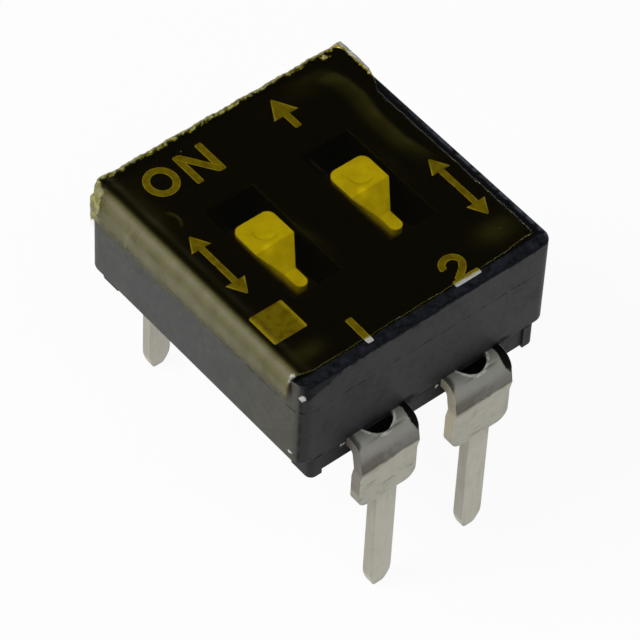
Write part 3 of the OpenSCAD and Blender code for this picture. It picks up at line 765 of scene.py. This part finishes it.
def film_surface(gap, thick, sag, wave):
    """The film's middle surface: points, faces, and how hazy with dirt and painted sheen, how gummy
    and how clear each point is.

    Across, the first columns run over the roof from the right edge to the fold, the next ones
    turn a quarter circle that stands a little off the body's edge, and the last ones run down
    the left end, where the flap thins out into the end's face. Along, each column runs from the
    front edge to the back edge. The roof's height is the gap plus a dip over each window, a low
    ridge inside the right and back edges, and ripples.
    """
    left, right = BODY_LOW[0], BODY_HIGH[0]
    level = TOP + gap + thick / 2
    off = FOLD_OFF + thick / 2
    along = np.linspace(0.0, 1.0, 150)[:, None]
    rough_y = FILM_FRONT + (FILM_BACK - FILM_FRONT) * along
    hem_x = np.interp(rough_y, *zip(*FILM_RIGHT)) + ragged(rough_y, 0.012)
    hem_z = TOP - np.interp(rough_y, *zip(*FLAP_DROP)) + ragged(rough_y + 2.0, 0.006)
    fold_x = left - off + FOLD_R
    roof = np.linspace(0.0, 1.0, 121)[None, :]
    turn = np.linspace(0.0, math.pi / 2, 17)[None, 1:]
    fall = 1.0 - (1.0 - np.linspace(0.0, 1.0, 28)[None, 1:]) ** 1.5
    x_roof = hem_x + (fold_x - hem_x) * roof
    z_roof = level + (TOP + off - level) * step(-x_roof, -fold_x - 0.40, -fold_x)
    x_turn = np.broadcast_to(fold_x - FOLD_R * np.sin(turn), (150, 16))
    z_turn = np.broadcast_to(TOP + off - FOLD_R * (1 - np.cos(turn)), (150, 16))
    z_fall = z_turn[:, -1:] + (hem_z - z_turn[:, -1:]) * fall
    x_fall = left - off + (off + 0.75 * thick) * step(fall, 0.88, 1.0)
    x = np.concatenate([x_roof, x_turn, np.broadcast_to(x_fall, z_fall.shape)], 1)
    z = np.concatenate([z_roof, z_turn, z_fall], 1)
    clear = np.zeros_like(x)
    clear[:, -27:] = step(fall, 0.20, 0.86)
    middle = x[75]
    front = (FILM_FRONT + 0.07 * step(-middle, -left - 0.55, -left) + ragged(middle, 0.016)
             + 0.08 * step(middle, 1.8, 3.1))
    back = (FILM_BACK - 0.16 * step(-middle, -left - 0.30, -left)
            + 0.02 * step(middle, right - 0.30, right) + ragged(middle + 5.0, 0.022))
    y = front[None, :] + (back - front)[None, :] * along
    on_roof = step(x, fold_x - 0.2, fold_x + 0.2)
    inside = np.zeros_like(x)
    for window_x in (-PITCH / 2, PITCH / 2):
        inside += (step(-abs(x - window_x), -0.66, -0.46) * step(-abs(y), -1.50, -1.20))
    ridge_x = np.interp(y, *zip(*RIDGE_X))
    ridge = hump(x, ridge_x, 0.13) * step(y, -0.6, 0.3) * step(-y, -3.1, -2.6)
    ridge += hump(y, 3.05 - 0.10 * (x - 2.2), 0.12) * step(x, 1.2, 2.0) * step(-x, -2.8, -2.4)
    ripple = (np.sin(1.9 * x + 0.8 * y) + 0.6 * np.sin(3.3 * y - 1.1 * x + 1.0)
              + 0.4 * np.sin(6.1 * x + 4.7 * y))
    z = z + on_roof * (0.012 * ridge - sag * inside + wave * 0.5 * ripple + wave * 0.5)
    corner = hump(x, left, 0.30) * hump(y, FILM_BACK, 0.40)
    crumple = np.sin(23.0 * y + 9.0 * z) * np.sin(19.0 * x + 14.0 * z + 1.0)
    z = z + 0.025 * corner * crumple
    x = x - 0.020 * corner * (1 + crumple)
    folded = step(-x, -left - 0.26, -left - 0.04)
    # Dirt and painted sheen. The fold's band and its crease line are painted reflection of the pale
    # studio; the ridges, the bubble's ring and the soft patches on the roof are painted sheen with
    # some dirt.
    dust_and_sheen = 0.72 * folded * (1 - clear) * (1 - 0.9 * corner)
    line_y = np.interp(z, *zip(*CREASE_Y))
    dust_and_sheen += 0.30 * folded * hump(y, line_y, 0.025) * step(-z, -TOP - 0.02, -TOP + 0.10)
    dust_and_sheen += 0.045 * ridge * on_roof + 0.045 * hump(x, left + 0.40, 0.22) * on_roof
    dust_and_sheen += (0.085 * step(x - ridge_x, -0.50, -0.20) * step(ridge_x - x, -0.14, -0.04)
             * step(y, -0.8, 0.4) * step(-y, -3.00, -2.80) * on_roof)
    dust_and_sheen += 0.05 * hump(x, 1.9, 0.9) * hump(y, 2.85, 0.30)
    dust_and_sheen += 0.11 * hump(x, -2.55, 0.42) * hump(y, -2.75, 0.24)
    dust_and_sheen += 0.12 * hump(x, 2.50, 0.60) * hump(y, -2.62, 0.36)
    dust_and_sheen += 0.07 * hump(x, -0.62 - 0.14 * (y + 0.3), 0.13) * hump(y, -0.3, 0.75)
    dust_and_sheen += 0.05 * hump(x, 2.02, 0.12) * hump(y, 0.2, 0.7)
    dust_and_sheen += 0.05 * hump(x, -2.75, 0.30) * hump(y, 2.10, 0.80)
    dust_and_sheen += 0.03 * hump(x, -2.2, 0.6) * hump(y, 2.9, 0.35)
    blister = np.hypot(x + 2.68, (y - 1.63) * 0.8)
    dust_and_sheen += 0.16 * hump(blister, 0.22, 0.03) * step(x, -2.62, -2.48) * on_roof
    inward = back[None, :] - y
    gum = np.maximum(0.56 * hump(inward, 0.05, 0.085), 0.70 * step(-inward, -0.03, -0.01))
    gum = np.maximum(gum, 1.00 * step(-x, -left - 0.34, -left) * hump(y, 3.38, 0.42)
                     * step(z, 3.45, 3.80))
    gum = np.maximum(gum, 0.62 * step(y, 2.2, 2.5) * step(x - hem_x, -0.16, -0.06) * on_roof)
    gum = np.maximum(gum, 1.10 * step(x, 3.29, 3.33))
    gum = np.maximum(gum, 0.60 * hump(x, 2.85, 0.22) * hump(inward, 0.16, 0.10))
    gum = np.maximum(gum, 0.70 * hump(x, left + 0.03, 0.12) * hump(y, FILM_FRONT + 0.10, 0.09))
    gum = np.maximum(gum, 0.36 * step(-(y - front[None, :]), -0.030, -0.01) * on_roof)
    gum = gum * (1 - step(clear, 0.3, 0.8))
    clear = np.maximum(clear, step(x - hem_x, -0.03, -0.004) * step(-y, -2.2, -2.0))
    points = np.stack([x, y, z], 2).reshape(-1, 3)
    rows, columns = x.shape
    corner_index = (np.arange(rows - 1)[:, None] * columns + np.arange(columns - 1)).reshape(-1)
    faces = np.stack([corner_index, corner_index + columns, corner_index + columns + 1,
                      corner_index + 1], 1)
    return points, faces, {"dust_and_sheen": dust_and_sheen, "gum": gum, "clear": clear}


# Operators

class DIPSWITCH_OT_mouldings(bpy.types.Operator):
    """Dress the cover and the base in moulded plastic"""

    bl_idname = "dipswitch.mouldings"
    bl_label = "Cover and base"

    def execute(self, context):
        sizes, colours, _ = settings()
        cover = softened_copy("cover", "moulded_cover", sizes.mould_edge,
                              change=level_stages)
        show(cover, "housing",
             plastic("cover plastic", colours.cover, 0.42, 0.5, 0.5, CHIPS_AND_GLINTS), ["cover"])
        base = softened_copy("base", "moulded_base", 0.6 * sizes.mould_edge, segments=2)
        show(base, "housing",
             plastic("base plastic", colours.base, 0.48, 0.7, 0.6, GLINTS), ["base"])
        return {"FINISHED"}


class DIPSWITCH_OT_leads(bpy.types.Operator):
    """Dress the four tinned leads"""

    bl_idname = "dipswitch.leads"
    bl_label = "Leads"

    def execute(self, context):
        sizes, colours, _ = settings()
        metal = tinned("tinned lead", colours.tin, colours.tarnish)
        for node in LEADS:
            lead = softened_copy(node, "tinned_" + node, sizes.lead_edge)
            show(lead, "housing", metal, [node])
        return {"FINISHED"}


class DIPSWITCH_OT_sliders(bpy.types.Operator):
    """Dress the two white sliders"""

    bl_idname = "dipswitch.sliders"
    bl_label = "Sliders"

    def execute(self, context):
        sizes, colours, _ = settings()
        for number, (node, middle) in enumerate(zip(SLIDERS, (-PITCH / 2, PITCH / 2)), 1):
            slider = softened_copy(node, f"white_{node}", sizes.slider_edge)
            white = slider_finish(f"slider {number} plastic", colours.slider, middle)
            show(slider, f"switch_{number}", white, [node])
        return {"FINISHED"}


class DIPSWITCH_OT_springs(bpy.types.Operator):
    """Dress the two gold-plated contact springs"""

    bl_idname = "dipswitch.springs"
    bl_label = "Contact springs"

    def execute(self, context):
        sizes, colours, _ = settings()
        gold = gold_plate("gold plate", colours.gold)
        for number, node in enumerate(SPRINGS, 1):
            spring = softened_copy(node, f"gold_{node}", sizes.spring_edge, segments=2)
            show(spring, f"switch_{number}", gold, [node])
        return {"FINISHED"}


class DIPSWITCH_OT_print(bpy.types.Operator):
    """Print the marks on the roof"""

    bl_idname = "dipswitch.print"
    bl_label = "Print"

    def execute(self, context):
        sizes, colours, _ = settings()
        ink = ink_finish("roof print", colours.ink)
        width = sizes.print_stroke
        inset = width / 2

        def ring(left, low, right, high):
            points = arc(((left + right) / 2, (low + high) / 2),
                         ((right - left) / 2 - inset, (high - low) / 2 - inset), 0, 360, 41)[:-1]
            return (*stroke(points, width, closed=True), True)

        def run(*corners):
            parts = [line(a, b, 5)[:-1] for a, b in zip(corners[:-1], corners[1:])]
            return (*stroke(np.concatenate([*parts, [corners[-1]]]), width), False)

        def bend(points):
            return (*stroke(points, width), False)

        def arrow(foot, tip, head, thin):
            foot, tip = np.asarray(foot, float), np.asarray(tip, float)
            along = (tip - foot) / np.linalg.norm(tip - foot)
            neck = tip - along * head
            return [(*stroke(line(foot, neck + along * 0.02), thin), False),
                    (*wedge(neck, tip, 1.25 * head), False)]

        left, right = (-2.58, 0.15), (2.70, -1.20)
        marks = {
            "print_on": [
                ring(-2.49, 2.23, -1.71, 3.06),
                run((-1.45, 2.13), (-1.45, 3.03)),
                run((-0.86, 2.13), (-0.86, 3.03)),
                run((-1.42, 2.97), (-0.89, 2.19))],
            "print_1": [run((-1.42, -3.33), (-1.41, -2.57))],
            "print_2": [
                bend(np.concatenate([arc((1.20, -2.75), (0.225, 0.195), 190, -25, 16),
                                     line((1.32, -2.95), (1.03, -3.15), 6)])),
                run((0.88, -3.20), (1.56, -3.20))],
            "print_pin_1": [(*stroke(line((-2.58, -2.21), (-2.58, -1.35)), 0.86), False)],
            "print_on_arrow": arrow((1.15, 2.12), (1.15, 3.06), 0.52, width),
        }
        for name, (x, y) in {"print_travel_1": left, "print_travel_2": right}.items():
            marks[name] = [*arrow((x, y), (x, y + 0.95), 0.40, 0.15),
                           *arrow((x, y), (x, y - 0.95), 0.40, 0.15)]
        for name, strokes in marks.items():
            mark = ribbon_mesh(name, strokes, TOP - 0.002, TOP + sizes.print_height)
            show(mark, "housing", ink)
        return {"FINISHED"}


class DIPSWITCH_OT_film(bpy.types.Operator):
    """Lay the amber film over the roof and round the left end"""

    bl_idname = "dipswitch.film"
    bl_label = "Film"

    def execute(self, context):
        sizes, colours, _ = settings()
        points, faces, looks = film_surface(sizes.film_gap, sizes.film_thick, sizes.film_sag,
                                            sizes.film_wave)
        film = new_object("amber_film", points, faces)
        for name, values in looks.items():
            layer = film.data.attributes.new(name, "FLOAT", "POINT")
            layer.data.foreach_set("value", values.astype(np.float32).reshape(-1))
        wall = film.modifiers.new("Thickness", "SOLIDIFY")
        wall.thickness = sizes.film_thick * MM
        wall.offset = 0.0
        shade_smooth(film, 60.0)
        show(film, "housing",
             film_finish("amber film", colours.tint, colours.haze_and_sheen, colours.glue), ["seal_film"])
        return {"FINISHED"}


class DIPSWITCH_OT_stage(bpy.types.Operator):
    """Set up the floor, the lamps and the camera"""

    bl_idname = "dipswitch.stage"
    bl_label = "Stage"

    def execute(self, context):
        _, _, stage = settings()
        scene = bpy.context.scene
        scene.view_settings.view_transform = "Standard"
        self.camera(scene, stage)
        self.floor(scene)
        self.lamps(scene)
        self.world(scene)
        return {"FINISHED"}

    def camera(self, scene, stage):
        """Stands the camera on a sphere round its target, then rolls it about its view."""
        data = bpy.data.cameras.new("camera")
        data.lens = stage.lens
        data.sensor_width = 36.0
        data.clip_start = 0.001
        data.clip_end = 10.0
        camera = bpy.data.objects.new("camera", data)
        scene.collection.objects.link(camera)
        level = math.cos(stage.elevation)
        away = Vector((math.sin(stage.azimuth) * level, -math.cos(stage.azimuth) * level,
                       math.sin(stage.elevation)))
        right = Vector((math.cos(stage.azimuth), math.sin(stage.azimuth), 0.0))
        right = Matrix.Rotation(stage.roll, 3, away) @ right
        up = away.cross(right)
        place = (Vector(stage.target) + away * stage.distance) * MM
        camera.matrix_world = Matrix.Translation(place) @ Matrix(
            (right, up, away)).transposed().to_4x4()
        scene.camera = camera

    def floor(self, scene):
        """A large pale floor under the pins' tips."""
        low = float(CAD_BOX[0][2]) / MM - 0.01
        side = 400.0
        floor = new_object("floor", [(-side, -side, low), (side, -side, low), (side, side, low),
                                     (-side, side, low)], [(0, 1, 2, 3)])
        material = bpy.data.materials.new("pale floor")
        graph = Graph(material)
        camera, mirrored = graph.rays()
        matt = graph.add("ShaderNodeBsdfDiffuse", None, {"Color": (0.62, 0.62, 0.62, 1.0)})
        white = graph.add("ShaderNodeEmission", None, {"Strength": 1.0})
        graph.finish(graph.add("ShaderNodeMixShader", None, {
            0: (camera + mirrored).ramp(0.0, 1.0) * 0.94, 1: matt, 2: white}))
        floor.data.materials.append(material)

    def lamps(self, scene):
        """Soft boxes that aim at the body."""
        for name, place, side, power, colour in (
                ("left box", (-62, 25, 80), 50, 0.110, (1.0, 0.99, 0.97)),
                ("front box", (-10, -55, 90), 50, 0.038, (1.0, 0.99, 0.97))):
            data = bpy.data.lights.new(name, "AREA")
            data.shape = "SQUARE"
            data.size = side * MM
            data.energy = power
            data.color = colour
            lamp = bpy.data.objects.new(name, data)
            scene.collection.objects.link(lamp)
            lamp.location = Vector(place) * MM
            aim = Vector((0.0, 0.0, 2.0 * MM)) - lamp.location
            lamp.rotation_euler = aim.to_track_quat("-Z", "Y").to_euler()

    def world(self, scene):
        """White to the camera. The part sees a studio that is pale low down and dark above."""
        world = bpy.data.worlds.new("studio")
        scene.world = world
        graph = Graph(world)
        camera, mirrored = graph.rays()
        way = graph.add("ShaderNodeTexCoord", out="Generated")
        _, _, up = graph.axes(way)
        above = up.rise(0.25, 0.62)
        shade = graph.blend(above, (0.50, 0.50, 0.50, 1.0), (0.04, 0.04, 0.04, 1.0))
        grey = graph.add("ShaderNodeBackground", None, {"Color": shade})
        white = graph.add("ShaderNodeBackground", None, {"Color": (1.0, 1.0, 1.0, 1.0)})
        graph.add_output(graph.add("ShaderNodeMixShader", None, {
            0: (camera + mirrored * (1.0 - above)).ramp(0.0, 1.0), 1: grey, 2: white}),
                         "ShaderNodeOutputWorld")


class DIPSWITCH_PT_panel(bpy.types.Panel):
    """The pieces of the switch, in the 3D view's sidebar"""

    bl_label = "DIP switch"
    bl_idname = "DIPSWITCH_PT_panel"
    bl_space_type = "VIEW_3D"
    bl_region_type = "UI"
    bl_category = "DIP switch"

    def draw(self, context):
        for operator in OPERATORS:
            self.layout.operator(operator.bl_idname)
        for group in settings():
            for name in group.__annotations__:
                self.layout.prop(group, name)


GROUPS = {"switch_sizes": SwitchSizes, "switch_colours": SwitchColours,
          "switch_stage": StageSettings}
OPERATORS = (DIPSWITCH_OT_mouldings, DIPSWITCH_OT_leads, DIPSWITCH_OT_sliders,
             DIPSWITCH_OT_springs, DIPSWITCH_OT_print, DIPSWITCH_OT_film, DIPSWITCH_OT_stage)


def register():
    for name, group in GROUPS.items():
        bpy.utils.register_class(group)
        setattr(bpy.types.Scene, name, bpy.props.PointerProperty(type=group))
    for part in (*OPERATORS, DIPSWITCH_PT_panel):
        bpy.utils.register_class(part)


def unregister():
    for part in reversed((*OPERATORS, DIPSWITCH_PT_panel)):
        bpy.utils.unregister_class(part)
    for name, group in GROUPS.items():
        delattr(bpy.types.Scene, name)
        bpy.utils.unregister_class(group)


def main():
    """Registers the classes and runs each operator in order."""
    register()
    for operator in OPERATORS:
        group, name = operator.bl_idname.split(".")
        getattr(getattr(bpy.ops, group), name)()


if __name__ == "__main__":
    main()
